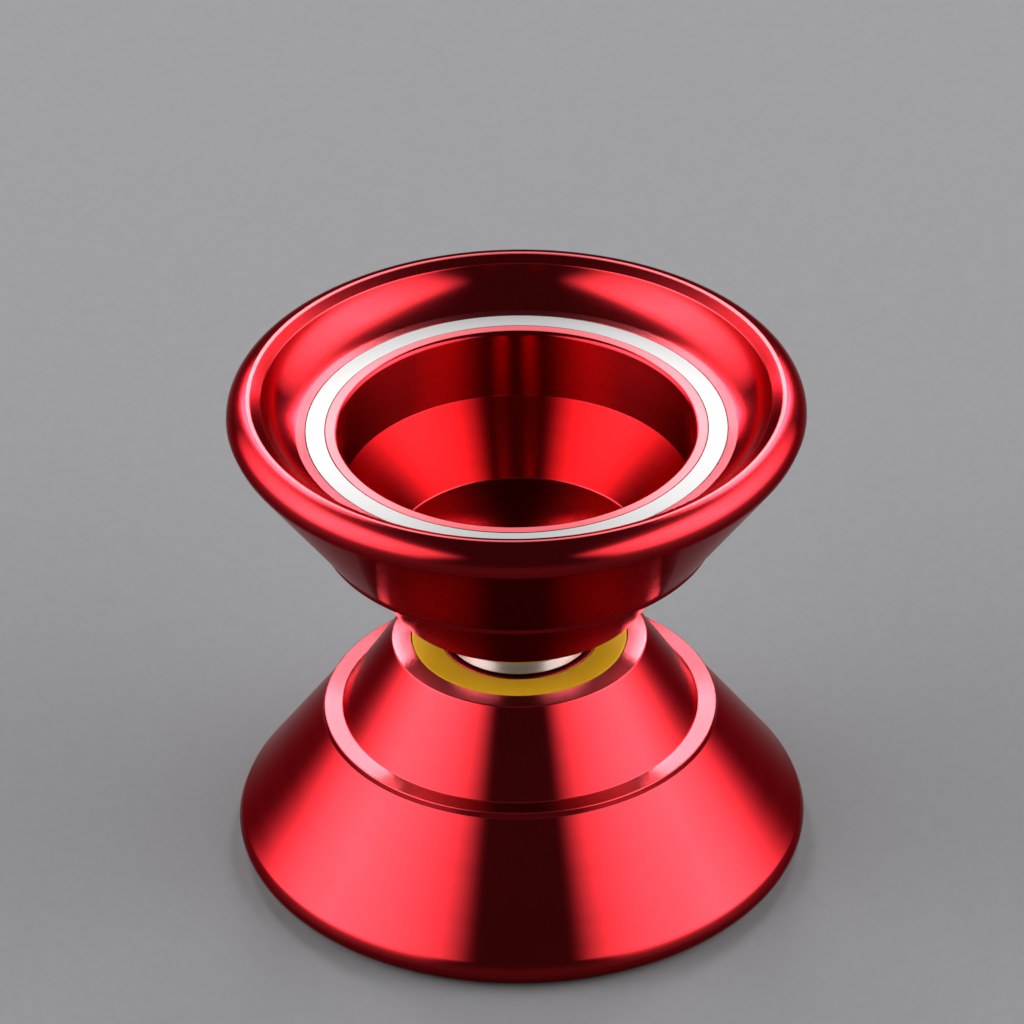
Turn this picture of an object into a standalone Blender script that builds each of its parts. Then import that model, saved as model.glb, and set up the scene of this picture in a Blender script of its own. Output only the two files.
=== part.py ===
"""A modern metal yo-yo on its spin axis: two turned halves, a ball bearing and an axle screw.

The origin is the middle of the string gap and +Z is the spin axis. Each turned profile is
drawn for the upper piece, in millimetres, as (radius, height) points that run down its
outer side. The lower piece is the same profile turned over.
"""

import math

import bmesh
import bpy
from mathutils import Matrix, Vector

MM = 0.001
TURN_STEPS = 48
MERGE_DISTANCE = 1e-6
ROUNDING_POINTS = 3
CURVE_POINTS = 5
GROOVE_POINTS = 6

# Halves
OUTER_RADIUS = 25.27
HALF_WIDTH = 23.0
RIM_ROUNDING = 2.0
RIM_LAND = 0.5
CREST_ROUNDING = 0.6
CREST_START = 155
BAND_RADIUS = 19.27
BAND_HEIGHT = 19.46
COVE_SAG = 0.45
MOUTH_RADIUS = 15.95
MOUTH_ROUNDING = 0.45
WAIST_RADIUS = 15.27
WAIST_HEIGHT = 13.06
CUP_FLOOR_RADIUS = 11.07
CUP_FLOOR_HEIGHT = 6.93
CUP_CHAMFER = 0.22
UNDER_RIM = (24.99, 20.25)
STEP_TOP = (17.54, 9.94)
STEP_OUTER_RADIUS = 17.40
STEP_INNER_RADIUS = 15.81
STEP_HEIGHT = 9.40
LAND_CORNER = (11.39, 2.50)
LAND_RADIUS = 11.17
LAND_HEIGHT = 2.33
SEAT_LIP_RADIUS = 6.60
SEAT_LIP_WALL = 0.35
SEAT_FLOOR_HEIGHT = 2.95

# Weight rings and response pads
RING_INNER_RADIUS = 16.73
RING_OUTER_RADIUS = 18.39
RING_DEPTH = 2.50
PAD_INNER_RADIUS = 7.00
PAD_OUTER_RADIUS = 9.50
PAD_FACE_HEIGHT = 2.31
PAD_THICKNESS = 1.00
SLOT_CLEARANCE = 0.05

# Bearing: 6.35 x 12.7 x 4.762 mm, with eight 1.984 mm balls
BEARING_BORE_RADIUS = 3.175
BEARING_RADIUS = 6.35
BEARING_HALF_WIDTH = 2.381
PITCH_RADIUS = 4.7625
BALL_RADIUS = 0.992
BALL_COUNT = 8
GROOVE_RADIUS = 1.04
INNER_LAND_RADIUS = 3.93
OUTER_LAND_RADIUS = 5.60
STRING_HOLLOW = 0.15
COUNTERBORE_RADIUS = 5.80
COUNTERBORE_HEIGHT = 1.70
SNAP_GROOVE_RADIUS = 5.97
SNAP_GROOVE_BOTTOM = 1.98
SNAP_GROOVE_TOP = 2.27
RACE_CHAMFER = 0.12
SHIELD_INNER_RADIUS = 4.05
SHIELD_OUTER_RADIUS = 5.75
SHIELD_BOTTOM = 1.75
SHIELD_THICKNESS = 0.18
SNAP_WIRE_RADIUS = 0.11
SNAP_CENTRE_RADIUS = 5.80
SNAP_OPENING = math.radians(24)
SNAP_POINTS = 30
CAGE_INNER_RADIUS = 4.15
CAGE_OUTER_RADIUS = 5.38
CAGE_BOTTOM = -1.50
CAGE_TOP = 0.55
POCKET_RADIUS = 1.08
POCKET_SIDES = 16
POCKET_OVERCUT = 0.3

# Bearing seats and axle
SEAT_RADIUS = 3.10
SHOULDER_RADIUS = 3.90
SHOULDER_HEIGHT = 2.43
SEAT_END_HEIGHT = 1.00
THREAD_RADIUS = 2.05
THREAD_END_HEIGHT = 5.60
AXLE_RADIUS = 1.97
AXLE_HALF_LENGTH = 5.00
AXLE_CHAMFER = 0.35
AXLE_SIDES = 24
HEX_ACROSS_FLATS = 2.00
HEX_DEPTH = 2.00

# Finishes: material name, colour, roughness, metallic
RED_ANODISED = ("red anodised aluminium", (0.33, 0.004, 0.010), 0.16, 1.0)
BARE_METAL = ("bare turned metal", (0.80, 0.80, 0.79), 0.25, 1.0)
OLIVE_SILICONE = ("olive silicone", (0.35, 0.19, 0.005), 0.75, 0.0)
BEARING_STEEL = ("polished bearing steel", (0.56, 0.56, 0.55), 0.15, 1.0)
DARK_STEEL = ("dark steel", (0.20, 0.20, 0.21), 0.35, 1.0)
NYLON = ("nylon cage", (0.60, 0.55, 0.42), 0.5, 0.0)


def make_collection(name):
    collection = bpy.data.collections.new(name)
    bpy.context.scene.collection.children.link(collection)
    return collection


def make_material(name, colour, roughness, metallic):
    material = bpy.data.materials.new(name)
    material.use_nodes = True
    shader = material.node_tree.nodes["Principled BSDF"]
    shader.inputs["Base Color"].default_value = (*colour, 1.0)
    shader.inputs["Roughness"].default_value = roughness
    shader.inputs["Metallic"].default_value = metallic
    return material


def arc(centre, radius, start, end, count):
    """Points along an arc, from angle start to angle end in degrees, both ends included."""
    points = []
    for i in range(count):
        angle = math.radians(start + (end - start) * i / (count - 1))
        points.append((centre[0] + radius * math.cos(angle), centre[1] + radius * math.sin(angle)))
    return points


def sagging(start, end, sag, count):
    """Points on a shallow parabola from start to end, hollowed to its right by sag."""
    across = (end[1] - start[1], start[0] - end[0])
    length = math.hypot(*across)
    points = []
    for i in range(count):
        t = i / (count - 1)
        depth = 4 * sag * t * (1 - t) / length
        points.append((
            start[0] + (end[0] - start[0]) * t + across[0] * depth,
            start[1] + (end[1] - start[1]) * t + across[1] * depth,
        ))
    return points


def turned_over(profile):
    return [(radius, -height) for radius, height in reversed(profile)]


def new_object(name, mesh, material, collection):
    piece = bpy.data.objects.new(name, mesh)
    mesh.materials.append(material)
    collection.objects.link(piece)
    return piece


def turned_piece(name, profile, material, collection, closed=True):
    """A profile and a Screw modifier. An open profile starts and ends on the axis."""
    mesh = bpy.data.meshes.new(name)
    points = [(radius * MM, 0.0, height * MM) for radius, height in profile]
    edges = [(i, i + 1) for i in range(len(points) - 1)]
    if closed:
        edges.append((len(points) - 1, 0))
    mesh.from_pydata(points, edges, [])
    piece = new_object(name, mesh, material, collection)
    screw = piece.modifiers.new("turn", "SCREW")
    screw.axis = "Z"
    screw.angle = math.tau
    screw.steps = TURN_STEPS
    screw.render_steps = TURN_STEPS
    screw.use_merge_vertices = True
    screw.merge_threshold = MERGE_DISTANCE
    screw.use_smooth_shade = True
    return piece


def half_profile():
    """One half, from the middle of its cup, over the rim and down to its threaded bore."""
    mouth_centre = (MOUTH_RADIUS, BAND_HEIGHT - MOUTH_ROUNDING)
    crest_radius = OUTER_RADIUS - RIM_ROUNDING
    rim_centre = (crest_radius, HALF_WIDTH - RIM_ROUNDING)
    crest_centre = (crest_radius - RIM_LAND, HALF_WIDTH - CREST_ROUNDING)
    crest_arc = arc(crest_centre, CREST_ROUNDING, CREST_START, 90, ROUNDING_POINTS)
    ring_wall = (RING_INNER_RADIUS - SLOT_CLEARANCE, RING_OUTER_RADIUS + SLOT_CLEARANCE)
    ring_floor = BAND_HEIGHT - RING_DEPTH - SLOT_CLEARANCE
    pad_wall = (PAD_INNER_RADIUS - SLOT_CLEARANCE, PAD_OUTER_RADIUS + SLOT_CLEARANCE)
    pad_floor = PAD_FACE_HEIGHT + PAD_THICKNESS + SLOT_CLEARANCE
    cup = [
        (0, CUP_FLOOR_HEIGHT),
        (CUP_FLOOR_RADIUS - CUP_CHAMFER, CUP_FLOOR_HEIGHT),
        (CUP_FLOOR_RADIUS + CUP_CHAMFER / 2, CUP_FLOOR_HEIGHT + CUP_CHAMFER),
        (WAIST_RADIUS, WAIST_HEIGHT),
    ]
    mouth = arc(mouth_centre, MOUTH_ROUNDING, 180, 90, ROUNDING_POINTS)
    face = [
        (ring_wall[0], BAND_HEIGHT),
        (ring_wall[0], ring_floor),
        (ring_wall[1], ring_floor),
        (ring_wall[1], BAND_HEIGHT),
    ]
    cove = sagging((BAND_RADIUS, BAND_HEIGHT), crest_arc[0], COVE_SAG, CURVE_POINTS)[:-1]
    rim = arc(rim_centre, RIM_ROUNDING, 90, 0, CURVE_POINTS)
    outside = [
        UNDER_RIM,
        STEP_TOP,
        (STEP_OUTER_RADIUS, STEP_HEIGHT),
        (STEP_INNER_RADIUS, STEP_HEIGHT),
        LAND_CORNER,
        (LAND_RADIUS, LAND_HEIGHT),
    ]
    pad_slot = [
        (pad_wall[1], LAND_HEIGHT),
        (pad_wall[1], pad_floor),
        (pad_wall[0], pad_floor),
        (pad_wall[0], LAND_HEIGHT),
    ]
    seat = [
        (SEAT_LIP_RADIUS, LAND_HEIGHT),
        (SEAT_LIP_RADIUS, SEAT_FLOOR_HEIGHT),
        (SHOULDER_RADIUS, SEAT_FLOOR_HEIGHT),
        (SHOULDER_RADIUS, SHOULDER_HEIGHT),
        (SEAT_RADIUS, SHOULDER_HEIGHT),
        (SEAT_RADIUS, SEAT_END_HEIGHT),
        (THREAD_RADIUS, SEAT_END_HEIGHT),
        (THREAD_RADIUS, THREAD_END_HEIGHT),
        (0, THREAD_END_HEIGHT),
    ]
    return cup + mouth + face + cove + crest_arc + rim + outside + pad_slot + seat


def box_profile(inner, outer, bottom, top):
    return [(inner, top), (outer, top), (outer, bottom), (inner, bottom)]


def outer_race_profile():
    """Outer race: its outside is hollowed to centre the string, its inside holds a ball groove."""
    edge = BEARING_HALF_WIDTH
    outside_top = (BEARING_RADIUS, edge - RACE_CHAMFER)
    outside_bottom = (BEARING_RADIUS, RACE_CHAMFER - edge)
    outside = sagging(outside_top, outside_bottom, STRING_HOLLOW, CURVE_POINTS)
    half_angle = math.degrees(math.acos((OUTER_LAND_RADIUS - PITCH_RADIUS) / GROOVE_RADIUS))
    groove = arc((PITCH_RADIUS, 0), GROOVE_RADIUS, -half_angle, half_angle, GROOVE_POINTS)
    shield_seat = [
        (OUTER_LAND_RADIUS, COUNTERBORE_HEIGHT),
        (COUNTERBORE_RADIUS, COUNTERBORE_HEIGHT),
        (COUNTERBORE_RADIUS, SNAP_GROOVE_BOTTOM),
        (SNAP_GROOVE_RADIUS, SNAP_GROOVE_BOTTOM),
        (SNAP_GROOVE_RADIUS, SNAP_GROOVE_TOP),
        (COUNTERBORE_RADIUS, SNAP_GROOVE_TOP),
        (COUNTERBORE_RADIUS, edge),
    ]
    top_corner = [(BEARING_RADIUS - RACE_CHAMFER, edge)]
    bottom_corner = [(BEARING_RADIUS - RACE_CHAMFER, -edge)]
    return top_corner + outside + bottom_corner + turned_over(shield_seat) + groove + shield_seat


def inner_race_profile():
    """Inner race: a ball groove outside, a plain bore inside."""
    edge = BEARING_HALF_WIDTH
    half_angle = math.degrees(math.acos((PITCH_RADIUS - INNER_LAND_RADIUS) / GROOVE_RADIUS))
    groove_centre = (PITCH_RADIUS, 0)
    groove = arc(groove_centre, GROOVE_RADIUS, 180 - half_angle, 180 + half_angle, GROOVE_POINTS)
    top = [(BEARING_BORE_RADIUS, edge), (INNER_LAND_RADIUS, edge)]
    bottom = [(INNER_LAND_RADIUS, -edge), (BEARING_BORE_RADIUS, -edge)]
    return top + groove + bottom


def make_cutter(name, build, collection):
    """A hidden cutting shape, filled in by build(shape)."""
    mesh = bpy.data.meshes.new(name)
    shape = bmesh.new()
    build(shape)
    shape.to_mesh(mesh)
    shape.free()
    cutter = bpy.data.objects.new(name, mesh)
    cutter.hide_render = True
    cutter.display_type = "WIRE"
    collection.objects.link(cutter)
    return cutter


def cut(piece, cutter):
    boolean = piece.modifiers.new(f"cut {cutter.name}", "BOOLEAN")
    boolean.operation = "DIFFERENCE"
    boolean.object = cutter
    boolean.solver = "EXACT"


def ball_positions():
    """Each ball's number, angle round the axis and centre."""
    for i in range(BALL_COUNT):
        angle = math.tau * i / BALL_COUNT
        yield i + 1, angle, Vector((math.cos(angle), math.sin(angle), 0.0)) * PITCH_RADIUS * MM


def build_pockets(shape):
    """One radial cylinder for each ball."""
    length = (CAGE_OUTER_RADIUS - CAGE_INNER_RADIUS + 2 * POCKET_OVERCUT) * MM
    laid_along_x = Matrix.Rotation(math.pi / 2, 4, "Y")
    for _, angle, centre in ball_positions():
        bmesh.ops.create_cone(
            shape,
            cap_ends=True,
            segments=POCKET_SIDES,
            radius1=POCKET_RADIUS * MM,
            radius2=POCKET_RADIUS * MM,
            depth=length,
            matrix=Matrix.Translation(centre) @ Matrix.Rotation(angle, 4, "Z") @ laid_along_x,
        )


def build_hex_sockets(shape):
    """One hexagonal prism through each end of the axle."""
    corner_radius = HEX_ACROSS_FLATS / math.sqrt(3) * MM
    for side in (-1, 1):
        middle = Vector((0, 0, side * AXLE_HALF_LENGTH * MM))
        bmesh.ops.create_cone(
            shape,
            cap_ends=True,
            segments=6,
            radius1=corner_radius,
            radius2=corner_radius,
            depth=2 * HEX_DEPTH * MM,
            matrix=Matrix.Translation(middle),
        )


def make_halves(parts, red):
    upper = turned_piece("upper_half", half_profile(), red, parts, closed=False)
    lower = turned_piece("lower_half", turned_over(half_profile()), red, parts, closed=False)
    return lower, upper


def make_pair(name, profile, material, parts):
    """The same ring on the lower and the upper half."""
    lower = turned_piece(f"lower_{name}", turned_over(profile), material, parts)
    upper = turned_piece(f"upper_{name}", profile, material, parts)
    return lower, upper


def make_weight_rings(parts, silver):
    bottom = BAND_HEIGHT - RING_DEPTH
    profile = box_profile(RING_INNER_RADIUS, RING_OUTER_RADIUS, bottom, BAND_HEIGHT)
    return make_pair("weight_ring", profile, silver, parts)


def make_response_pads(parts, olive):
    top = PAD_FACE_HEIGHT + PAD_THICKNESS
    profile = box_profile(PAD_INNER_RADIUS, PAD_OUTER_RADIUS, PAD_FACE_HEIGHT, top)
    return make_pair("response_pad", profile, olive, parts)


def make_shields(parts, steel):
    top = SHIELD_BOTTOM + SHIELD_THICKNESS
    profile = box_profile(SHIELD_INNER_RADIUS, SHIELD_OUTER_RADIUS, SHIELD_BOTTOM, top)
    return make_pair("bearing_shield", profile, steel, parts)


def make_axle(parts, cutters, steel):
    mesh = bpy.data.meshes.new("axle")
    shape = bmesh.new()
    bmesh.ops.create_cone(
        shape,
        cap_ends=True,
        segments=AXLE_SIDES,
        radius1=AXLE_RADIUS * MM,
        radius2=AXLE_RADIUS * MM,
        depth=2 * AXLE_HALF_LENGTH * MM,
    )
    shape.to_mesh(mesh)
    shape.free()
    axle = new_object("axle", mesh, steel, parts)
    chamfer = axle.modifiers.new("thread lead-in", "BEVEL")
    chamfer.width = AXLE_CHAMFER * MM
    chamfer.segments = 1
    chamfer.limit_method = "ANGLE"
    cut(axle, make_cutter("hex sockets", build_hex_sockets, cutters))
    return axle


def make_cage(parts, cutters, nylon):
    profile = box_profile(CAGE_INNER_RADIUS, CAGE_OUTER_RADIUS, CAGE_BOTTOM, CAGE_TOP)
    cage = turned_piece("ball_cage", profile, nylon, parts)
    cut(cage, make_cutter("ball pockets", build_pockets, cutters))
    return cage


def make_balls(parts, steel):
    mesh = bpy.data.meshes.new("bearing_ball")
    shape = bmesh.new()
    bmesh.ops.create_uvsphere(shape, u_segments=12, v_segments=8, radius=BALL_RADIUS * MM)
    for face in shape.faces:
        face.smooth = True
    shape.to_mesh(mesh)
    shape.free()
    mesh.materials.append(steel)
    balls = []
    for number, angle, centre in ball_positions():
        ball = bpy.data.objects.new(f"bearing_ball_{number}", mesh)
        ball.location = centre
        ball.rotation_euler = (0, 0, angle)
        parts.objects.link(ball)
        balls.append(ball)
    return balls


def make_snap_ring(name, side, parts, steel):
    """A split ring of round wire, sprung into the outer race over a shield."""
    curve = bpy.data.curves.new(name, "CURVE")
    curve.dimensions = "3D"
    curve.bevel_depth = SNAP_WIRE_RADIUS * MM
    curve.bevel_resolution = 1
    curve.use_fill_caps = True
    height = side * (SNAP_GROOVE_BOTTOM + SNAP_GROOVE_TOP) / 2
    wire = curve.splines.new("POLY")
    wire.points.add(SNAP_POINTS - 1)
    for i, point in enumerate(wire.points):
        angle = SNAP_OPENING / 2 + (math.tau - SNAP_OPENING) * i / (SNAP_POINTS - 1)
        across = Vector((math.cos(angle), math.sin(angle))) * SNAP_CENTRE_RADIUS
        point.co = (across.x * MM, across.y * MM, height * MM, 1.0)
    ring = bpy.data.objects.new(name, curve)
    curve.materials.append(steel)
    parts.objects.link(ring)
    return ring


def make_bearing(parts, cutters, steel, dark_steel, nylon):
    inner_race = turned_piece("bearing_inner_race", inner_race_profile(), steel, parts)
    outer_race = turned_piece("bearing_outer_race", outer_race_profile(), steel, parts)
    cage = make_cage(parts, cutters, nylon)
    balls = make_balls(parts, steel)
    shields = make_shields(parts, steel)
    snap_rings = [
        make_snap_ring("lower_shield_snap_ring", -1, parts, dark_steel),
        make_snap_ring("upper_shield_snap_ring", 1, parts, dark_steel),
    ]
    return inner_race, [outer_race, *shields, *snap_rings], [cage, *balls]


def parent_to_axis(name, pieces, collection):
    """An empty on the spin axis that carries the pieces that turn together."""
    empty = bpy.data.objects.new(name, None)
    empty.empty_display_size = 5 * MM
    collection.objects.link(empty)
    for piece in pieces:
        piece.parent = empty
    return empty


def main():
    for old in list(bpy.data.objects):
        bpy.data.objects.remove(old, do_unlink=True)
    parts = make_collection("yo_yo")
    cutters = make_collection("cutters")
    red = make_material(*RED_ANODISED)
    silver = make_material(*BARE_METAL)
    olive = make_material(*OLIVE_SILICONE)
    steel = make_material(*BEARING_STEEL)
    dark_steel = make_material(*DARK_STEEL)
    nylon = make_material(*NYLON)

    lower, upper = make_halves(parts, red)
    lower_ring, upper_ring = make_weight_rings(parts, silver)
    lower_pad, upper_pad = make_response_pads(parts, olive)
    axle = make_axle(parts, cutters, dark_steel)
    inner_race, spinning, orbiting = make_bearing(parts, cutters, steel, dark_steel, nylon)

    parent_to_axis("lower half axis", [lower, lower_ring, lower_pad, axle], parts)
    upper_axis = parent_to_axis("upper half axis", [upper, upper_ring, upper_pad], parts)
    seat_axis = parent_to_axis("bearing seat axis", [inner_race], parts)
    spin_axis = parent_to_axis("bearing spin axis", spinning, parts)
    orbit_axis = parent_to_axis("cage orbit axis", orbiting, parts)
    for moving_axis in (upper_axis, spin_axis, orbit_axis):
        moving_axis.parent = seat_axis


main()
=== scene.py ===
"""Looks for the metal yo-yo: finely turned meshes and procedural materials around the CAD frame.

Every turned piece is a profile of (radius, height, rounding) corners in millimetres, drawn
for the upper half and running down its outer side. A corner may carry a fourth value, the
mark of the surface from there to the next corner: a ridge painted pale pink as a highlight,
a faced flat painted paler pink as a highlight, or the cup painted a deeper red as shade for
the light that bounces in it; each is also rougher. The lower half's pieces are the same
profiles turned over. Lengths are in metres once a mesh is made.
"""

import math

import bpy
from mathutils import Matrix, Vector


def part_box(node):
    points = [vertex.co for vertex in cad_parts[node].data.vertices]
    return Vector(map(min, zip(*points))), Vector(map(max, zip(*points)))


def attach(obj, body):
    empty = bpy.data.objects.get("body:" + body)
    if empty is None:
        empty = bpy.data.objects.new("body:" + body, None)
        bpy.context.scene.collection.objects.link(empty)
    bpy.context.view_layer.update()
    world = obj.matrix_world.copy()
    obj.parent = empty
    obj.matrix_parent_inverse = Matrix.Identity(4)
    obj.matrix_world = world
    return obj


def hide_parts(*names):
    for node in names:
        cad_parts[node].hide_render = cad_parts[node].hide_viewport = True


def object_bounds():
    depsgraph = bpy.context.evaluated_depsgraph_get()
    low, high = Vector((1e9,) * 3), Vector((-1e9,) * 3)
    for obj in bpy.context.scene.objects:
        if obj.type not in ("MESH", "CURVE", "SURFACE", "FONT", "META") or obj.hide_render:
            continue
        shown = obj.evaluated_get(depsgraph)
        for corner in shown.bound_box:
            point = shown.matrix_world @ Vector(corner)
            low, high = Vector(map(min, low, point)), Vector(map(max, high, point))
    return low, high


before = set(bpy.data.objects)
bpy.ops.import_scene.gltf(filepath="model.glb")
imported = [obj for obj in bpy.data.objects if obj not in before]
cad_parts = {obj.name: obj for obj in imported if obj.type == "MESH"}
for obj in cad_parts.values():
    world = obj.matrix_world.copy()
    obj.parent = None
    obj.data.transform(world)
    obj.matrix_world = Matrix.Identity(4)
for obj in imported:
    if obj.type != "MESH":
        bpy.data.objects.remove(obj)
CAD_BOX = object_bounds()

MM = 0.001
MICRON = 0.000001

# Meshes
SEGMENTS = 288
BEARING_SEGMENTS = 144
AXLE_SEGMENTS = 72
AXLE_ROWS = 210
CURVE_POINTS = 24
GROOVE_POINTS = 20
SNAP_RING_POINTS = 120
ON_AXIS = 0.000001
FILLET_STEP = math.radians(15)
# The largest share of each side beside a corner that its fillet takes up
FILLET_REACH = 0.49

# Finishes. Ridges so marked are painted pale pink as a highlight, and made rougher and less metallic;
# corners rounded by no more than SHARP_EDGE are edges, which get a little of the same.
SHARP_EDGE = 0.3
PAINTED_HIGHLIGHT = {"wear_and_painted_highlight": 1.0, "edge": 0.12}

# Halves, in millimetres. The outer sizes come from the frame.
RIM_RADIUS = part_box("upper_half")[1].x / MM
HALF_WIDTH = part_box("upper_half")[1].z / MM
BAND_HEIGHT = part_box("upper_weight_ring")[1].z / MM
RING_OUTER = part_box("upper_weight_ring")[1].x / MM
RING_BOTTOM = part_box("upper_weight_ring")[0].z / MM
RING_WIDTH = 1.66
RIM_ROUNDING = 2.0
LIP = (22.25, 22.51)
BAND_RADIUS = 19.27
COVE_SAG = 0.52
CREST_LINE = 0.14
CREST_DROP = 0.07
MOUTH_RADIUS = 15.50
MOUTH_ROUNDING = 0.45
WAIST = (15.27, 13.06)
CUP_FLOOR = (11.07, 6.93)
UNDER_RIM = (24.99, 20.25)
STEP_TOP = (17.54, 9.94)
STEP_OUTER = 17.40
STEP_INNER = 15.81
STEP_HEIGHT = 9.40
LAND_RADIUS = 11.28
LAND_HEIGHT = 2.33
SEAM = 0.06

# Between the halves
PAD_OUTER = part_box("upper_response_pad")[1].x / MM
PAD_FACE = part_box("upper_response_pad")[0].z / MM
PAD_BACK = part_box("upper_response_pad")[1].z / MM
PAD_WIDTH = 2.5
SEAT_LIP = 6.60
SEAT_FLOOR = 2.95
SHOULDER = (3.90, 2.43)
SEAT = (3.10, 1.00)
BORE = (2.05, 5.60)

# Bearing
RACE_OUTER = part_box("bearing_outer_race")[1].x / MM
RACE_HALF_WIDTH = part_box("bearing_outer_race")[1].z / MM
BORE_RADIUS = 3.175
PITCH_RADIUS = 4.7625
BALL_RADIUS = 0.992
BALL_COUNT = 8
GROOVE_RADIUS = 1.04
INNER_LAND = 3.93
OUTER_LAND = 5.60
STRING_GROOVE = (0.30, 1.40)
COUNTERBORE = (5.80, 1.70)
SNAP_GROOVE = (5.97, 1.98, 2.27)
SHIELD = (4.05, 5.75, 1.75, 1.93)
SNAP_WIRE = 0.11
SNAP_RING_RADIUS = 5.80
SNAP_OPENING = math.radians(24)
SNAP_BEND = 0.12
SNAP_BEND_SHARE = 0.03
CAGE = (4.15, 5.38, -1.50, 0.55)
POCKET_RADIUS = 1.08

# Axle screw, M4 x 0.7
AXLE_RADIUS = 1.97
AXLE_ROOT = 1.60
AXLE_HALF_LENGTH = 5.0
AXLE_PITCH = 0.70
AXLE_CHAMFER = 0.35
# Across the thread, its height is this steepness times the way from root to crest, less the flat
THREAD_STEEPNESS = 2.6
THREAD_ROOT_FLAT = 0.8
THREAD_WEAR_DEPTH = 0.02
HEX_ACROSS_FLATS = 2.0
HEX_DEPTH = 2.0
SOCKET_CENTRE = 0.02

# Stage. Lengths are in metres, and the lens in millimetres.
CAMERA_ELEVATION = math.radians(34.53)
CAMERA_DISTANCE = 0.7555
CAMERA_LENS = 298.6
CAMERA_ROLL = math.radians(-0.80)
CAMERA_PIVOT = Vector((0, 0, -STEP_HEIGHT * MM))
CAMERA_AIM = Vector((-0.0005, 0, 0.01063))
# Each softbox: azimuth from the front, elevation, distance, width, height, radiance,
# and the shares of its width and height that fade out at each edge
SOFTBOXES = {
    "side": (83, 30, 0.90, 2.30, 1.04, 14.0, 0.50, 0.20),
    "back": (161, 38, 1.00, 0.20, 0.45, 50.0, 0.12, 0.12),
}
FLOOR_RADIUS = 3.0
FLOOR_SIDES = 96


# ---------------------------------------------------------------- profiles

def smooth(points):
    """Curve points as corners without rounding."""
    return [(radius, height, 0.0) for radius, height in points]


def arc(centre, radius, start, end, count):
    """Corners along an arc, from angle start to angle end in degrees."""
    points = []
    for i in range(count):
        angle = math.radians(start + (end - start) * i / (count - 1))
        points.append((centre[0] + radius * math.cos(angle), centre[1] + radius * math.sin(angle)))
    return smooth(points)


def sagging(start, end, sag, count):
    """Corners on a shallow parabola from start to end, hollowed to its right by sag."""
    across = (end[1] - start[1], start[0] - end[0])
    length = math.hypot(*across)
    points = []
    for i in range(count):
        t = i / (count - 1)
        depth = 4 * sag * t * (1 - t) / length
        points.append((
            start[0] + (end[0] - start[0]) * t + across[0] * depth,
            start[1] + (end[1] - start[1]) * t + across[1] * depth,
        ))
    return smooth(points)


def turned_over(corners):
    return [(radius, -height, rounding) for radius, height, rounding in reversed(corners)]


def box_corners(inner, outer, bottom, top, rounding):
    return [(r, z, rounding) for r, z in ((inner, top), (outer, top), (outer, bottom), (inner, bottom))]


def fillet(before, corner, after):
    """Points on the arc that rounds one corner."""
    here = Vector(corner[:2])
    back = Vector(before[:2]) - here
    ahead = Vector(after[:2]) - here
    half_angle = back.angle(ahead) / 2
    longest = FILLET_REACH * min(back.length, ahead.length)
    reach = min(corner[2] / math.tan(half_angle), longest)
    radius = reach * math.tan(half_angle)
    start = here + back.normalized() * reach
    end = here + ahead.normalized() * reach
    middle = here + (back.normalized() + ahead.normalized()).normalized() * radius / math.sin(half_angle)
    count = max(2, math.ceil((math.pi - 2 * half_angle) / FILLET_STEP))
    return [(start - middle).slerp(end - middle, i / count) * radius + middle for i in range(count + 1)]


def rounded(corners, closed):
    """The profile's points, each with its finish: "edge" on sharp edges, or as marked."""
    points, finishes = [], []
    last = len(corners) - 1
    mark = ""
    for i, corner in enumerate(corners):
        next_mark = corner[3] if len(corner) > 3 else ""
        if corner[2] == 0 or (not closed and i in (0, last)):
            points.append(Vector(corner[:2]))
            finishes.append(mark or next_mark)
        else:
            spots = fillet(corners[i - 1], corner, corners[(i + 1) % len(corners)])
            turn = "edge" if corner[2] <= SHARP_EDGE else ""
            points += spots
            finishes += [mark, *[turn] * (len(spots) - 2), next_mark]
        mark = next_mark
    return points, finishes


def lathe(name, corners, side=1, closed=True, segments=SEGMENTS):
    """A turned mesh, turned over for side -1. It keeps each point's finish and way along."""
    points, finishes = rounded(corners, closed)
    if side < 0:
        points = [Vector((point.x, -point.y)) for point in reversed(points)]
        finishes.reverse()
    vertices, rings = [], []
    values = {"along": [], "wear_and_painted_highlight": [], "faced_with_painted_highlight": [], "cupped": []}
    travelled = 0.0
    for i, (point, finish) in enumerate(zip(points, finishes)):
        travelled += (point - points[i - 1]).length if i else 0.0
        count = 1 if point.x < ON_AXIS else segments
        rings.append([len(vertices) + k for k in range(count)] * (segments // count))
        for k in range(count):
            turn = math.tau * k / segments
            vertices.append((point.x * math.cos(turn) * MM, point.x * math.sin(turn) * MM, point.y * MM))
        values["along"] += [travelled] * count
        values["wear_and_painted_highlight"] += [PAINTED_HIGHLIGHT.get(finish, 0.0)] * count
        values["faced_with_painted_highlight"] += [float(finish == "faced_with_painted_highlight")] * count
        values["cupped"] += [float(finish == "cupped")] * count
    spans = list(zip(rings, rings[1:]))
    if closed:
        spans.append((rings[-1], rings[0]))
    faces = []
    for upper, lower in spans:
        for k in range(segments):
            n = (k + 1) % segments
            # Where a ring is one point on the axis, the face is a triangle
            face = (upper[k], lower[k], lower[n], upper[n])
            faces.append(tuple(dict.fromkeys(face)))
    return mesh_piece(name, vertices, faces, values)


def mesh_piece(name, vertices, faces, values=None):
    """A smooth-shaded mesh whose large faces keep their own normals beside the small ones."""
    mesh = bpy.data.meshes.new(name)
    mesh.from_pydata(vertices, [], faces)
    for key, numbers in (values or {}).items():
        mesh.attributes.new(key, "FLOAT", "POINT").data.foreach_set("value", numbers)
    mesh.shade_smooth()
    piece = bpy.data.objects.new(name, mesh)
    bpy.context.scene.collection.objects.link(piece)
    normals = piece.modifiers.new("face weighted normals", "WEIGHTED_NORMAL")
    normals.weight = 100
    return piece


# ---------------------------------------------------------------- node helpers

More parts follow.
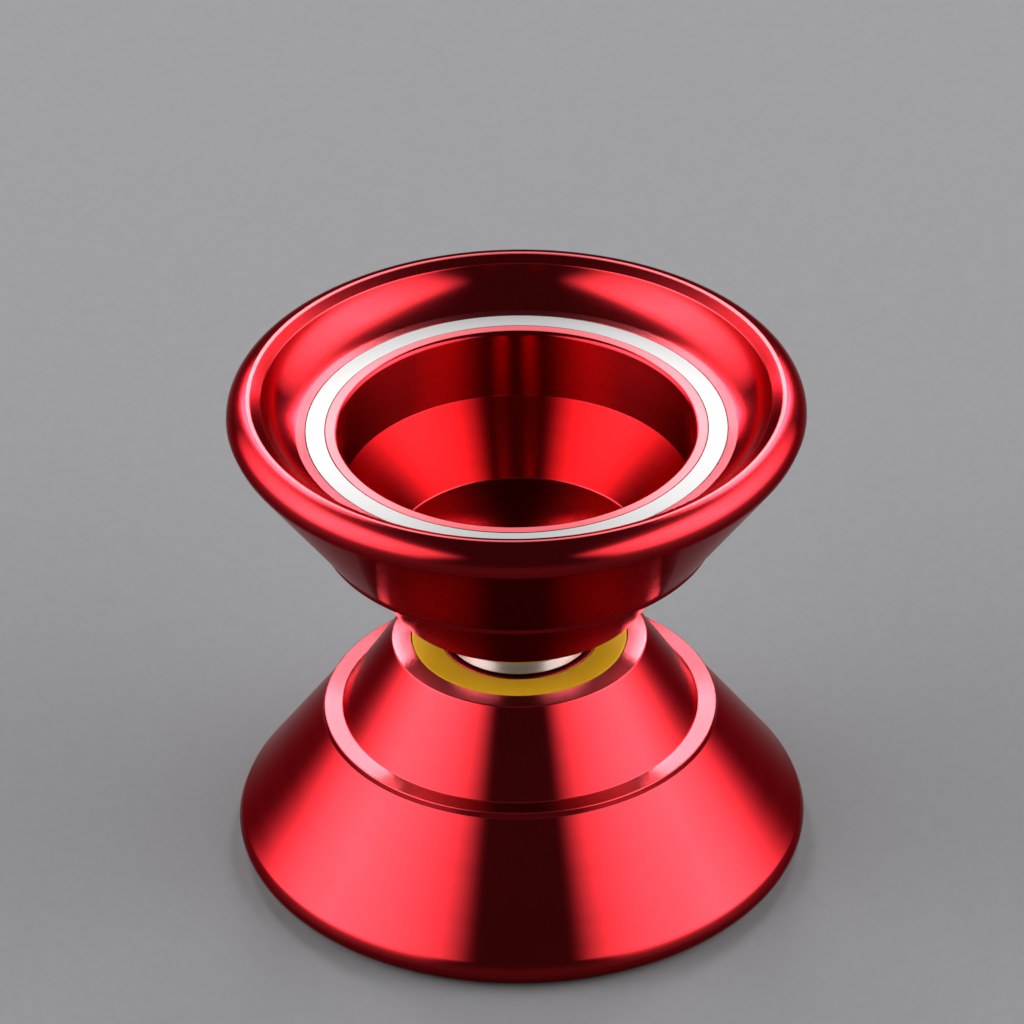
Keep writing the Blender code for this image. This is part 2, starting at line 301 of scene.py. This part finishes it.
class Nodes:
    """Short names for building the node tree of one material or light."""

    def __init__(self, owner, shader):
        owner.use_nodes = True
        self.owner = owner
        self.tree = owner.node_tree
        self.shader = self.tree.nodes[shader]

    def add(self, kind, **settings):
        node = self.tree.nodes.new(kind)
        for key, value in settings.items():
            setattr(node, key, value)
        return node

    def join(self, source, target):
        self.tree.links.new(source, target)

    def feed(self, socket, value):
        """Sets a socket to a number, a colour or another node's output."""
        if isinstance(value, bpy.types.NodeSocket):
            self.join(value, socket)
        else:
            socket.default_value = value

    def set(self, **values):
        for key, value in values.items():
            self.feed(self.shader.inputs[key.replace("_", " ")], value)

    def attribute(self, name):
        return self.add("ShaderNodeAttribute", attribute_name=name).outputs["Fac"]

    def maths(self, operation, first, second=0.0):
        node = self.add("ShaderNodeMath", operation=operation)
        self.feed(node.inputs[0], first)
        self.feed(node.inputs[1], second)
        return node.outputs[0]

    def noise(self, vector, scale, detail=2.0, roughness=0.5):
        node = self.add("ShaderNodeTexNoise")
        node.inputs["Scale"].default_value = scale
        node.inputs["Detail"].default_value = detail
        node.inputs["Roughness"].default_value = roughness
        self.join(vector, node.inputs["Vector"])
        return node.outputs["Fac"]

    def spread(self, value, low, high, start=0.0, end=1.0):
        """Maps a value from start..end to low..high."""
        node = self.add("ShaderNodeMapRange")
        for key, number in (("From Min", start), ("From Max", end), ("To Min", low), ("To Max", high)):
            node.inputs[key].default_value = number
        self.join(value, node.inputs["Value"])
        return node.outputs["Result"]

    def mix(self, factor, first, second):
        node = self.add("ShaderNodeMix", data_type="RGBA")
        self.feed(node.inputs[0], factor)
        self.feed(node.inputs[6], first)
        self.feed(node.inputs[7], second)
        return node.outputs[2]

    def bump(self, height, distance, strength=1.0):
        node = self.add("ShaderNodeBump")
        node.inputs["Strength"].default_value = strength
        node.inputs["Distance"].default_value = distance
        self.join(height, node.inputs["Height"])
        return node.outputs["Normal"]

    def position(self):
        return self.add("ShaderNodeTexCoord").outputs["Object"]

    def lathe_marks(self, fineness, arcs):
        """Noise that runs round the axis: fine along the profile, long round the piece."""
        around = self.add("ShaderNodeVectorMath", operation="MULTIPLY")
        self.join(self.position(), around.inputs[0])
        around.inputs[1].default_value = (1.0, 1.0, 0.0)
        unit = self.add("ShaderNodeVectorMath", operation="NORMALIZE")
        self.join(around.outputs[0], unit.inputs[0])
        parts = self.add("ShaderNodeSeparateXYZ")
        self.join(unit.outputs[0], parts.inputs[0])
        vector = self.add("ShaderNodeCombineXYZ")
        self.join(self.maths("MULTIPLY", parts.outputs[0], arcs), vector.inputs[0])
        self.join(self.maths("MULTIPLY", parts.outputs[1], arcs), vector.inputs[1])
        self.join(self.maths("MULTIPLY", self.attribute("along"), fineness), vector.inputs[2])
        return vector.outputs[0]

    def turned_grain(self, amount):
        """Stretches highlights across the lathe marks, a quarter turn from the tangent."""
        tangent = self.add("ShaderNodeTangent", direction_type="RADIAL", axis="Z")
        self.join(tangent.outputs[0], self.shader.inputs["Tangent"])
        self.shader.inputs["Anisotropic"].default_value = amount
        self.shader.inputs["Anisotropic Rotation"].default_value = 0.25


# ---------------------------------------------------------------- materials

def new_material(name):
    return Nodes(bpy.data.materials.new(name), "Principled BSDF")


def anodised_red():
    """Polished aluminium under a clear red dye. Flats are rougher and painted paler pink as a highlight,
    ridges and edges rougher and painted pale pink as a highlight, and the cup rougher and painted a deeper
    red as shade for the light that bounces in it.
    """
    nodes = new_material("anodised_red")
    marks = nodes.noise(nodes.lathe_marks(9.0, 1.6), 1.0, 3.0, 0.6)
    bands = nodes.noise(nodes.lathe_marks(0.9, 0.8), 1.0, 2.0)
    clouds = nodes.noise(nodes.position(), 160.0, 3.0)
    faced_with_painted_highlight = nodes.attribute("faced_with_painted_highlight")
    wear_and_painted_highlight = nodes.attribute("wear_and_painted_highlight")
    cupped = nodes.attribute("cupped")
    colour = nodes.mix(clouds, (0.22, 0.0082, 0.0112, 1.0), (0.27, 0.0098, 0.0135, 1.0))
    # The cup: rougher, and a deeper red painted as shade for the light that bounces inside it
    colour = nodes.mix(cupped, colour, (0.24, 0.0032, 0.0042, 1.0))
    # Faced flats: rougher, and painted paler pink as a highlight
    colour = nodes.mix(faced_with_painted_highlight, colour, (0.45, 0.062, 0.075, 1.0))
    # Ridges and sharp edges: a pale pink painted highlight. On the axle the same attribute is real wear on
    # the thread crests.
    colour = nodes.mix(wear_and_painted_highlight, colour, (0.40, 0.072, 0.083, 1.0))
    turned = nodes.maths("ADD", nodes.spread(bands, 0.12, 0.16), nodes.spread(marks, 0.0, 0.03))
    roughness = nodes.maths("ADD", turned, nodes.spread(faced_with_painted_highlight, 0.0, 0.06))
    roughness = nodes.maths("ADD", roughness, nodes.spread(cupped, 0.0, 0.08))
    roughness = nodes.maths("ADD", roughness, nodes.spread(wear_and_painted_highlight, 0.0, 0.30))
    nodes.set(Base_Color=colour, Metallic=nodes.spread(wear_and_painted_highlight, 1.0, 0.5), Roughness=roughness)
    nodes.set(Specular_Tint=(0.70, 0.45, 0.46, 1.0))
    nodes.set(Normal=nodes.bump(marks, 3 * MICRON, 0.4))
    nodes.turned_grain(1.0)
    return nodes.owner


def bare_ring_metal():
    """Bare faced metal with visible tool rings."""
    nodes = new_material("bare_ring_metal")
    marks = nodes.noise(nodes.lathe_marks(14.0, 1.2), 1.0, 3.0, 0.65)
    colour = nodes.mix(marks, (0.14, 0.14, 0.139, 1.0), (0.17, 0.17, 0.169, 1.0))
    nodes.set(Base_Color=colour, Metallic=0.8, Roughness=nodes.spread(marks, 0.50, 0.60))
    nodes.set(Normal=nodes.bump(marks, 4 * MICRON, 0.5))
    nodes.turned_grain(0.6)
    return nodes.owner


def silicone():
    """Cast olive-yellow silicone: soft sheen, fine pitting, faint mottling."""
    nodes = new_material("olive_silicone")
    place = nodes.position()
    mottle = nodes.noise(place, 420.0, 3.0)
    pits = nodes.noise(place, 5200.0, 2.0)
    colour = nodes.mix(mottle, (0.20, 0.098, 0.0003, 1.0), (0.245, 0.125, 0.0006, 1.0))
    nodes.set(Base_Color=colour, Roughness=nodes.spread(pits, 0.60, 0.75))
    nodes.set(Normal=nodes.bump(pits, 10 * MICRON, 0.5), IOR=1.41, Specular_IOR_Level=0.1)
    nodes.set(Subsurface_Weight=0.15, Subsurface_Scale=0.0008)
    return nodes.owner


def bearing_steel():
    """Ground bearing steel, with a fine circular finish."""
    nodes = new_material("bearing_steel")
    marks = nodes.noise(nodes.lathe_marks(22.0, 2.0), 1.0, 3.0, 0.6)
    stains = nodes.noise(nodes.position(), 900.0, 2.0)
    colour = nodes.mix(stains, (0.52, 0.51, 0.49, 1.0), (0.62, 0.61, 0.60, 1.0))
    nodes.set(Base_Color=colour, Metallic=1.0, Roughness=nodes.spread(marks, 0.16, 0.28))
    nodes.set(Normal=nodes.bump(marks, 3 * MICRON, 0.4))
    nodes.turned_grain(0.5)
    return nodes.owner


def ball_steel():
    """Lapped balls: near mirror, with faint random scuffs."""
    nodes = new_material("ball_steel")
    scuffs = nodes.noise(nodes.position(), 2600.0, 4.0, 0.7)
    colour = nodes.mix(scuffs, (0.58, 0.58, 0.57, 1.0), (0.66, 0.66, 0.65, 1.0))
    nodes.set(Base_Color=colour, Metallic=1.0, Roughness=nodes.spread(scuffs, 0.05, 0.14))
    return nodes.owner


def shield_steel():
    """Pressed stainless sheet with a rolled, slightly cloudy surface."""
    nodes = new_material("shield_steel")
    clouds = nodes.noise(nodes.position(), 1400.0, 3.0)
    marks = nodes.noise(nodes.lathe_marks(30.0, 3.0), 1.0, 2.0)
    colour = nodes.mix(clouds, (0.48, 0.48, 0.47, 1.0), (0.58, 0.57, 0.56, 1.0))
    nodes.set(Base_Color=colour, Metallic=1.0, Roughness=nodes.spread(clouds, 0.26, 0.40))
    nodes.set(Normal=nodes.bump(marks, 4 * MICRON, 0.4))
    return nodes.owner


def black_oxide():
    """Blackened steel that shines through on the edges."""
    nodes = new_material("black_oxide_steel")
    patches = nodes.noise(nodes.position(), 1800.0, 4.0, 0.65)
    bare = nodes.maths("MULTIPLY", nodes.attribute("wear_and_painted_highlight"), nodes.spread(patches, 0.1, 0.9, 0.35, 0.65))
    colour = nodes.mix(bare, (0.045, 0.045, 0.05, 1.0), (0.42, 0.41, 0.40, 1.0))
    nodes.set(Base_Color=colour, Metallic=1.0, Roughness=nodes.spread(patches, 0.28, 0.45))
    nodes.set(Normal=nodes.bump(patches, 6 * MICRON, 0.5))
    return nodes.owner


def moulded_nylon():
    """Natural nylon, slightly translucent, with a fine eroded-mould texture."""
    nodes = new_material("moulded_nylon")
    place = nodes.position()
    clouds = nodes.noise(place, 700.0, 3.0)
    grain = nodes.noise(place, 7000.0, 2.0)
    colour = nodes.mix(clouds, (0.60, 0.55, 0.42, 1.0), (0.70, 0.66, 0.54, 1.0))
    nodes.set(Base_Color=colour, Roughness=nodes.spread(grain, 0.42, 0.58))
    nodes.set(Normal=nodes.bump(grain, 8 * MICRON, 0.4))
    nodes.set(Subsurface_Weight=0.2, Subsurface_Scale=0.0006)
    return nodes.owner


def pale_floor():
    """A plain matt studio surface."""
    nodes = new_material("pale_floor")
    specks = nodes.noise(nodes.position(), 900.0, 2.0)
    colour = nodes.mix(specks, (0.066, 0.066, 0.068, 1.0), (0.074, 0.074, 0.076, 1.0))
    nodes.set(Base_Color=colour, Roughness=0.9, Specular_IOR_Level=0.0)
    return nodes.owner


# ---------------------------------------------------------------- turned pieces

def half_corners():
    """One half, from the middle of its cup, over the rim and down to its threaded bore."""
    crest = RIM_RADIUS - RIM_ROUNDING
    rim_centre = (crest, HALF_WIDTH - RIM_ROUNDING)
    ring_inner = RING_OUTER - RING_WIDTH - SEAM
    ring_outer = RING_OUTER + SEAM
    pad_inner = PAD_OUTER - PAD_WIDTH - SEAM
    pad_outer = PAD_OUTER + SEAM
    # The cup is painted a deeper red as shade for the light that bounces in it
    cup = [
        (0, CUP_FLOOR[1], 0, "cupped"),
        (*CUP_FLOOR, 0.25, "cupped"),
        (*WAIST, 0.2, "cupped"),
        # The mouth's rounding is painted pale pink as a highlight, and rougher
        (MOUTH_RADIUS, BAND_HEIGHT, MOUTH_ROUNDING, "wear_and_painted_highlight"),
    ]
    # The outer band beyond the ring is painted paler pink as a highlight
    ring_slot = [
        (ring_inner, BAND_HEIGHT, 0.04),
        (ring_inner, RING_BOTTOM - SEAM, 0.1),
        (ring_outer, RING_BOTTOM - SEAM, 0.1),
        (ring_outer, BAND_HEIGHT, 0.04, "faced_with_painted_highlight"),
    ]
    band_edge = [(BAND_RADIUS, BAND_HEIGHT, 0.06)]
    cove = sagging((BAND_RADIUS, BAND_HEIGHT), LIP, COVE_SAG, CURVE_POINTS)[1:-1]
    shoulder = [(*LIP, 0.15), (crest - CREST_LINE, HALF_WIDTH - CREST_DROP, 0)]
    # The crest line is painted pale pink as a highlight, and rougher
    crest_line = [(crest, HALF_WIDTH, 0, "wear_and_painted_highlight")]
    rim = arc(rim_centre, RIM_ROUNDING, 90, 0, CURVE_POINTS)[1:]
    # The step and the land are painted paler pink as a highlight
    outside = [
        (*UNDER_RIM, 1.2),
        (*STEP_TOP, 0.25),
        (STEP_OUTER, STEP_HEIGHT, 0.12, "faced_with_painted_highlight"),
        (STEP_INNER, STEP_HEIGHT, 0.15),
        (LAND_RADIUS, LAND_HEIGHT, 0.25, "faced_with_painted_highlight"),
    ]
    pad_slot = [
        (pad_outer, LAND_HEIGHT, 0.06),
        (pad_outer, PAD_BACK + SEAM, 0.1),
        (pad_inner, PAD_BACK + SEAM, 0.1),
        (pad_inner, LAND_HEIGHT, 0.06),
    ]
    seat = [
        (SEAT_LIP, LAND_HEIGHT, 0.1),
        (SEAT_LIP, SEAT_FLOOR, 0.1),
        (SHOULDER[0], SEAT_FLOOR, 0.08),
        (*SHOULDER, 0.05),
        (SEAT[0], SHOULDER[1], 0.05),
        (*SEAT, 0.2),
        (BORE[0], SEAT[1], 0.15),
        (*BORE, 0.1),
        (0, BORE[1], 0),
    ]
    face = cup + ring_slot + band_edge + cove + shoulder + crest_line
    return face + rim + outside + pad_slot + seat


def finish_piece(piece, body, material, node):
    """Gives a piece its material and its body, and hides the CAD node that it stands for."""
    piece.data.materials.append(material)
    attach(piece, body)
    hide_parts(node)


def add_half(side, name, material):
    piece = lathe(f"{name}_turned", half_corners(), side, closed=False)
    finish_piece(piece, name, material, name)


def add_turned_pair(part, corners, bodies, material, segments=SEGMENTS):
    """The same turned piece on the lower and the upper side."""
    for side, word, body in zip((-1, 1), ("lower", "upper"), bodies):
        piece = lathe(f"{word}_{part}_turned", corners, side, segments=segments)
        finish_piece(piece, body, material, f"{word}_{part}")


def outer_race_corners():
    edge = RACE_HALF_WIDTH
    chamfer = 0.12
    groove_floor = RACE_OUTER - STRING_GROOVE[0]
    outside = [
        (RACE_OUTER, edge - chamfer, 0.05),
        (groove_floor, STRING_GROOVE[1], 0.5),
        (groove_floor, -STRING_GROOVE[1], 0.5),
        (RACE_OUTER, chamfer - edge, 0.05),
    ]
    half_angle = math.degrees(math.acos((OUTER_LAND - PITCH_RADIUS) / GROOVE_RADIUS))
    groove = arc((PITCH_RADIUS, 0), GROOVE_RADIUS, -half_angle, half_angle, GROOVE_POINTS)
    shield_seat = [
        (OUTER_LAND, COUNTERBORE[1], 0.05),
        (*COUNTERBORE, 0.03),
        (COUNTERBORE[0], SNAP_GROOVE[1], 0.02),
        (SNAP_GROOVE[0], SNAP_GROOVE[1], 0.03),
        (SNAP_GROOVE[0], SNAP_GROOVE[2], 0.03),
        (COUNTERBORE[0], SNAP_GROOVE[2], 0.02),
        (COUNTERBORE[0], edge, 0.04),
    ]
    top_corner = [(RACE_OUTER - chamfer, edge, 0.04)]
    bottom_corner = [(RACE_OUTER - chamfer, -edge, 0.04)]
    return top_corner + outside + bottom_corner + turned_over(shield_seat) + groove + shield_seat


def inner_race_corners():
    edge = RACE_HALF_WIDTH
    half_angle = math.degrees(math.acos((PITCH_RADIUS - INNER_LAND) / GROOVE_RADIUS))
    groove = arc((PITCH_RADIUS, 0), GROOVE_RADIUS, 180 - half_angle, 180 + half_angle, GROOVE_POINTS)
    top = [(BORE_RADIUS, edge, 0.12), (INNER_LAND, edge, 0.06)]
    bottom = [(INNER_LAND, -edge, 0.06), (BORE_RADIUS, -edge, 0.12)]
    return top + groove + bottom


# ---------------------------------------------------------------- other pieces

def ball_angles():
    return [math.tau * i / BALL_COUNT for i in range(BALL_COUNT)]


def add_balls(material):
    """Each ball is a cube's grid pushed out to a sphere, so that it has no poles."""
    steps = 10
    corners = {}
    vertices, faces = [], []
    for axis in range(3):
        for side in (-1, 1):
            grid = []
            for i in range(steps + 1):
                for k in range(steps + 1):
                    a = math.tan((i / steps - 0.5) * math.pi / 2)
                    b = math.tan((k / steps - 0.5) * math.pi / 2)
                    spot = [0.0, 0.0, 0.0]
                    spot[axis], spot[(axis + 1) % 3], spot[(axis + 2) % 3] = side, a, b
                    point = Vector(spot).normalized() * BALL_RADIUS * MM
                    key = tuple(round(value, 9) for value in point)
                    if key not in corners:
                        corners[key] = len(vertices)
                        vertices.append(tuple(point))
                    grid.append(corners[key])
            for i in range(steps):
                for k in range(steps):
                    start = i * (steps + 1) + k
                    face = [grid[start], grid[start + steps + 1], grid[start + steps + 2], grid[start + 1]]
                    faces.append(face if side > 0 else face[::-1])
    for number, angle in enumerate(ball_angles(), 1):
        ball = mesh_piece(f"ball_{number}_lapped", vertices, faces)
        ball.location = Vector((math.cos(angle), math.sin(angle), 0)) * PITCH_RADIUS * MM
        finish_piece(ball, f"ball_{number}", material, f"bearing_ball_{number}")


def cage_top(angle):
    """Height of the crown cage's upper edge: a round pocket at each ball, and prongs between."""
    inner, outer, _, top = CAGE
    step = math.tau / BALL_COUNT
    offset = ((angle + step / 2) % step - step / 2) * (inner + outer) / 2
    if abs(offset) >= POCKET_RADIUS:
        gap = step * (inner + outer) / 4 - POCKET_RADIUS
        rise = (abs(offset) - POCKET_RADIUS) / gap
        return top * math.sqrt(max(0.0, 1 - (1 - rise) ** 4))
    return -math.sqrt(POCKET_RADIUS ** 2 - offset ** 2)


def add_cage(material):
    """A ring whose top follows the ball pockets."""
    inner, outer, bottom, _ = CAGE
    count = 40 * BALL_COUNT
    chamfer = 0.05
    vertices, faces = [], []
    for i in range(count):
        angle = math.tau * i / count
        top = cage_top(angle)
        section = [
            (inner, top - chamfer), (inner + chamfer, top), (outer - chamfer, top), (outer, top - chamfer),
            (outer, bottom + chamfer), (outer - chamfer, bottom), (inner + chamfer, bottom),
            (inner, bottom + chamfer),
        ]
        for radius, height in section:
            vertices.append((radius * math.cos(angle) * MM, radius * math.sin(angle) * MM, height * MM))
    corners = len(section)
    for i in range(count):
        here, there = i * corners, (i + 1) % count * corners
        for k in range(corners):
            n = (k + 1) % corners
            faces.append((here + k, here + n, there + n, there + k))
    cage = mesh_piece("ball_cage_moulded", vertices, faces)
    finish_piece(cage, "ball_cage", material, "ball_cage")


def add_snap_ring(side, material):
    """Round wire, split, with its ends bent in a little."""
    name = "upper_shield_snap_ring" if side > 0 else "lower_shield_snap_ring"
    curve = bpy.data.curves.new(f"{name}_wire", "CURVE")
    curve.dimensions = "3D"
    curve.bevel_depth = SNAP_WIRE * MM
    curve.bevel_resolution = 4
    curve.use_fill_caps = True
    height = side * (SNAP_GROOVE[1] + SNAP_GROOVE[2]) / 2
    last = SNAP_RING_POINTS - 1
    wire = curve.splines.new("POLY")
    wire.points.add(last)
    for i, point in enumerate(wire.points):
        angle = SNAP_OPENING / 2 + (math.tau - SNAP_OPENING) * i / last
        from_end = min(i, last - i) / SNAP_RING_POINTS
        radius = SNAP_RING_RADIUS - SNAP_BEND * max(0.0, 1 - from_end / SNAP_BEND_SHARE) ** 2
        point.co = (radius * math.cos(angle) * MM, radius * math.sin(angle) * MM, height * MM, 1)
    ring = bpy.data.objects.new(f"{name}_wire", curve)
    bpy.context.scene.collection.objects.link(ring)
    finish_piece(ring, "outer_race", material, name)


def thread_radius(angle, height):
    """The thread's radius at an angle and height: a vee with a flat crest and root."""
    phase = (height / AXLE_PITCH - angle / math.tau) % 1.0
    vee = THREAD_STEEPNESS * abs(phase - 0.5) * 2 - THREAD_ROOT_FLAT
    threaded = AXLE_ROOT + (AXLE_RADIUS - AXLE_ROOT) * min(1.0, max(0.0, vee))
    lead_in = AXLE_RADIUS - AXLE_CHAMFER + (AXLE_HALF_LENGTH - abs(height))
    return min(threaded, lead_in)


def hex_radius(angle):
    """Distance from the axis to a hexagon's wall."""
    sector = math.tau / 6
    return HEX_ACROSS_FLATS / 2 / math.cos((angle + sector / 2) % sector - sector / 2)


def add_axle(material):
    """Threaded rod with a hexagon socket in each end, laid out ring by ring."""
    vertices, faces, wear_and_painted_highlight = [], [], []

    def ring(radius_at, height):
        for k in range(AXLE_SEGMENTS):
            angle = math.tau * k / AXLE_SEGMENTS
            radius = radius_at(angle)
            vertices.append((radius * math.cos(angle) * MM, radius * math.sin(angle) * MM, height * MM))
            wear_and_painted_highlight.append(float(AXLE_RADIUS - radius < THREAD_WEAR_DEPTH))

    floor_height = AXLE_HALF_LENGTH - HEX_DEPTH
    ring(lambda angle: SOCKET_CENTRE, floor_height)
    ring(hex_radius, floor_height)
    ring(hex_radius, AXLE_HALF_LENGTH)
    for i in range(AXLE_ROWS + 1):
        height = AXLE_HALF_LENGTH - 2 * AXLE_HALF_LENGTH * i / AXLE_ROWS
        ring(lambda angle: thread_radius(angle, height), height)
    ring(hex_radius, -AXLE_HALF_LENGTH)
    ring(hex_radius, -floor_height)
    ring(lambda angle: SOCKET_CENTRE, -floor_height)
    count = len(vertices) // AXLE_SEGMENTS
    for i in range(count - 1):
        for k in range(AXLE_SEGMENTS):
            n = (k + 1) % AXLE_SEGMENTS
            here, below = i * AXLE_SEGMENTS, (i + 1) * AXLE_SEGMENTS
            faces.append((here + k, below + k, below + n, here + n))
    faces.append(tuple(range(AXLE_SEGMENTS)))
    faces.append(tuple((count - 1) * AXLE_SEGMENTS + k for k in reversed(range(AXLE_SEGMENTS))))
    axle = mesh_piece("axle_threaded", vertices, faces, {"wear_and_painted_highlight": wear_and_painted_highlight})
    finish_piece(axle, "lower_half", material, "axle")


# ---------------------------------------------------------------- stage

def add_camera():
    camera = bpy.data.objects.new("camera", bpy.data.cameras.new("camera"))
    back = Vector((0, -math.cos(CAMERA_ELEVATION), math.sin(CAMERA_ELEVATION)))
    place = CAMERA_PIVOT + back * CAMERA_DISTANCE
    level = (CAMERA_AIM - place).to_track_quat("-Z", "Y").to_matrix().to_4x4()
    camera.matrix_world = Matrix.Translation(place) @ level @ Matrix.Rotation(CAMERA_ROLL, 4, "Z")
    camera.data.lens = CAMERA_LENS
    camera.data.sensor_width = 36.0
    camera.data.clip_start = 0.05
    bpy.context.scene.collection.objects.link(camera)
    bpy.context.scene.camera = camera


def add_softbox(name, side, azimuth, elevation, distance, width, height, radiance, *fades):
    """A flat box that faces the object. Azimuth is measured from the front, to either side."""
    turn, rise = math.radians(azimuth), math.radians(elevation)
    level = Vector((side * math.sin(turn), -math.cos(turn), 0)) * math.cos(rise)
    away = level + Vector((0, 0, math.sin(rise)))
    light = bpy.data.lights.new(name, "AREA")
    light.shape = "RECTANGLE"
    light.size, light.size_y = width, height
    light.energy = radiance * math.pi * width * height
    feather(light, fades)
    lamp = bpy.data.objects.new(name, light)
    lamp.location = away * distance
    lamp.rotation_euler = (-away).to_track_quat("-Z", "Y").to_euler()
    bpy.context.scene.collection.objects.link(lamp)


def feather(light, fades):
    """Fades a softbox out towards its sides and towards its top and bottom."""
    nodes = Nodes(light, "Emission")
    place = nodes.add("ShaderNodeSeparateXYZ")
    nodes.join(nodes.add("ShaderNodeNewGeometry").outputs["Parametric"], place.inputs[0])
    shares = []
    for along, fade in zip(place.outputs, fades):
        from_middle = nodes.maths("ABSOLUTE", nodes.maths("SUBTRACT", along, 0.5))
        shares.append(nodes.spread(from_middle, 0.0, 1.0, 0.5, 0.5 - fade))
    nodes.set(Strength=nodes.maths("MULTIPLY", *shares))


def add_floor(material):
    """A round floor, level with the lowest point of the object."""
    vertices = [(0, 0, CAD_BOX[0].z)]
    for k in range(FLOOR_SIDES):
        angle = math.tau * k / FLOOR_SIDES
        vertices.append((math.cos(angle) * FLOOR_RADIUS, math.sin(angle) * FLOOR_RADIUS, CAD_BOX[0].z))
    faces = [(0, 1 + k, 1 + (k + 1) % FLOOR_SIDES) for k in range(FLOOR_SIDES)]
    mesh = bpy.data.meshes.new("floor")
    mesh.from_pydata(vertices, [], faces)
    mesh.materials.append(material)
    floor = bpy.data.objects.new("floor", mesh)
    bpy.context.scene.collection.objects.link(floor)


def add_world():
    """A dim room."""
    world = bpy.data.worlds.new("dim_room")
    world.use_nodes = True
    world.node_tree.nodes["Background"].inputs["Color"].default_value = (0.12, 0.12, 0.124, 1)
    bpy.context.scene.world = world


# ---------------------------------------------------------------- build

red = anodised_red()
steel = bearing_steel()
dark_steel = black_oxide()

add_camera()
add_half(-1, "lower_half", red)
add_half(1, "upper_half", red)
ring_box = box_corners(RING_OUTER - RING_WIDTH, RING_OUTER, RING_BOTTOM, BAND_HEIGHT, 0.05)
add_turned_pair("weight_ring", ring_box, ("lower_half", "upper_half"), bare_ring_metal())
pad_box = box_corners(PAD_OUTER - PAD_WIDTH, PAD_OUTER, PAD_FACE, PAD_BACK, 0.12)
add_turned_pair("response_pad", pad_box, ("lower_half", "upper_half"), silicone())
shield_box = box_corners(*SHIELD, 0.04)
add_turned_pair("bearing_shield", shield_box, ("outer_race", "outer_race"), shield_steel(),
                segments=BEARING_SEGMENTS)
outer_race = lathe("bearing_outer_race_ground", outer_race_corners(), segments=BEARING_SEGMENTS)
finish_piece(outer_race, "outer_race", steel, "bearing_outer_race")
inner_race = lathe("bearing_inner_race_ground", inner_race_corners(), segments=BEARING_SEGMENTS)
finish_piece(inner_race, "bearing_seat", steel, "bearing_inner_race")
add_balls(ball_steel())
add_cage(moulded_nylon())
add_snap_ring(-1, dark_steel)
add_snap_ring(1, dark_steel)
add_axle(dark_steel)

add_floor(pale_floor())
for box_name, box_place in SOFTBOXES.items():
    add_softbox(f"{box_name}_left", -1, *box_place)
    add_softbox(f"{box_name}_right", 1, *box_place)
add_world()
bpy.context.scene.view_settings.view_transform = "Standard"
